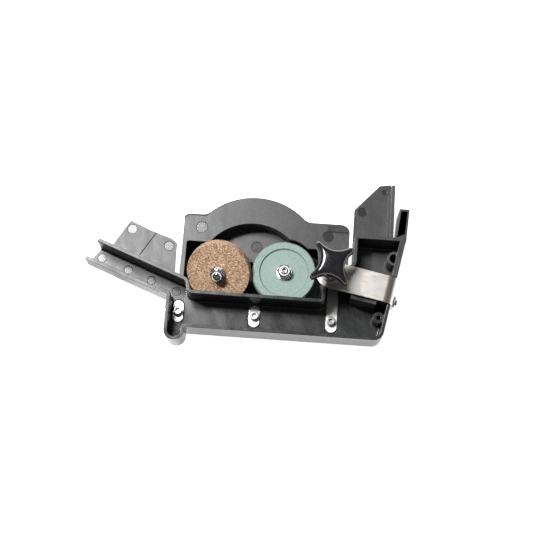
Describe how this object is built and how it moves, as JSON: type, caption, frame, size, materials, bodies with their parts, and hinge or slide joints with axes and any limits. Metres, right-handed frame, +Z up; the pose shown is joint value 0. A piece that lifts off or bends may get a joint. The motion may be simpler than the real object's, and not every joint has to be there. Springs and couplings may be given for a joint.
{
  "type": "slicer blade sharpener",
  "caption": "Blade sharpening attachment of a food slicer: moulded tray housing, grinding and truing wheels on sprung plungers, strap clamp with star knob.",
  "frame": {"origin": "centre of the flat base of the wheel box", "axes": "+X along the longest side towards the clamp, +Y towards the arch behind the wheels, +Z up out of the open side"},
  "size_m": [0.2446, 0.14, 0.085],
  "materials": {
    "housing_plastic": "charcoal glass-filled nylon, fine moulded grain",
    "cover_plastic": "charcoal glass-filled nylon",
    "button_plastic": "black moulded plastic",
    "knob_plastic": "glossy black moulding",
    "grinding_stone": "coarse brown aluminium oxide with dark and pale grains",
    "truing_stone": "pale green silicon carbide, fine grained",
    "strap_steel": "satin stainless strip",
    "plate_steel": "satin stainless",
    "stainless": "stainless",
    "rail_steel": "satin stainless bar",
    "bright_steel": "bright stainless",
    "screw_steel": "plain stainless fasteners",
    "socket_screw_steel": "socket screws, stainless",
    "plunger_steel": "turned steel",
    "spring_steel": "spring wire",
    "bronze": "sintered bronze",
    "brass": "turned brass",
    "nylon": "natural nylon locking ring"
  },
  "bodies": {
    "housing": {"housing": "housing_plastic", "rear_cover": "cover_plastic", "cover_screws": "screw_steel", "clamp_insert": "brass", "strap_screw": "screw_steel", "strap_washer": "stainless", "strap_nut": "screw_steel", "grinding_sleeve": "bronze", "truing_sleeve": "bronze", "grinding_spring": "spring_steel", "truing_spring": "spring_steel"},
    "grinding_plunger": {"grinding_plunger": "plunger_steel", "grinding_button": "button_plastic", "grinding_bushes": "bronze"},
    "grinding_spindle": {"grinding_wheel": "grinding_stone", "grinding_spindle": "bright_steel", "grinding_washer": "stainless", "grinding_nut": "bright_steel", "grinding_nut_collar": "bright_steel", "grinding_nut_ring": "nylon", "grinding_clip": "spring_steel"},
    "truing_plunger": {"truing_plunger": "plunger_steel", "truing_button": "button_plastic", "truing_bushes": "bronze"},
    "truing_spindle": {"truing_wheel": "truing_stone", "truing_spindle": "bright_steel", "truing_washer": "stainless", "truing_nut": "bright_steel", "truing_nut_collar": "bright_steel", "truing_nut_ring": "nylon", "truing_clip": "spring_steel"},
    "stop_rail": {"stop_rail": "rail_steel", "rail_screws": "socket_screw_steel", "rail_nuts": "screw_steel", "rail_plates": "plate_steel", "slide_strip": "plate_steel"},
    "strap": {"strap": "strap_steel"},
    "thrust_washer": {"thrust_washer": "stainless"},
    "knob": {"knob": "knob_plastic", "knob_stud": "screw_steel"}
  },
  "joints": [
    {"name": "grinding_push", "type": "slide", "parent": "housing", "child": "grinding_plunger", "axis": [-0.0996, -0.5649, 0.8192], "range_m": [0, 0.003], "stiffness_N_per_m": 1500, "springref_m": -0.002, "deforming": ["grinding_spring"]},
    {"name": "grinding_spin", "type": "hinge", "parent": "grinding_plunger", "child": "grinding_spindle", "pos_m": [-0.0256, -0.0159, 0.03], "axis": [-0.0996, -0.5649, 0.8192], "continuous": true},
    {"name": "truing_push", "type": "slide", "parent": "housing", "child": "truing_plunger", "axis": [0, 0, 1], "range_m": [0, 0.003], "stiffness_N_per_m": 1500, "springref_m": -0.002, "deforming": ["truing_spring"]},
    {"name": "truing_spin", "type": "hinge", "parent": "truing_plunger", "child": "truing_spindle", "pos_m": [0.0254, -0.0107, 0.027], "axis": [0, 0, 1], "continuous": true},
    {"name": "rail_adjust", "type": "slide", "parent": "housing", "child": "stop_rail", "axis": [0, 1, 0], "range_m": [-0.002, 0.0006]},
    {"name": "strap_flex", "type": "hinge", "parent": "housing", "child": "strap", "pos_m": [0.1057, -0.02357, 0.05], "axis": [-0.1842, -0.9829, 0], "range_deg": [0, 1]},
    {"name": "clamp_travel", "type": "slide", "parent": "housing", "child": "thrust_washer", "axis": [0, 0, -1], "range_m": [0, 0.0008]},
    {"name": "knob_turn", "type": "hinge", "parent": "thrust_washer", "child": "knob", "pos_m": [0.06, -0.015, 0.058], "axis": [0, 0, -1], "range_deg": [0, 289]}
  ],
  "couplings": [
    {"joint": "knob_turn", "follows": "clamp_travel", "rad_per_m": 6283.2},
    {"joint": "strap_flex", "follows": "clamp_travel", "rad_per_m": 21.505}
  ]
}
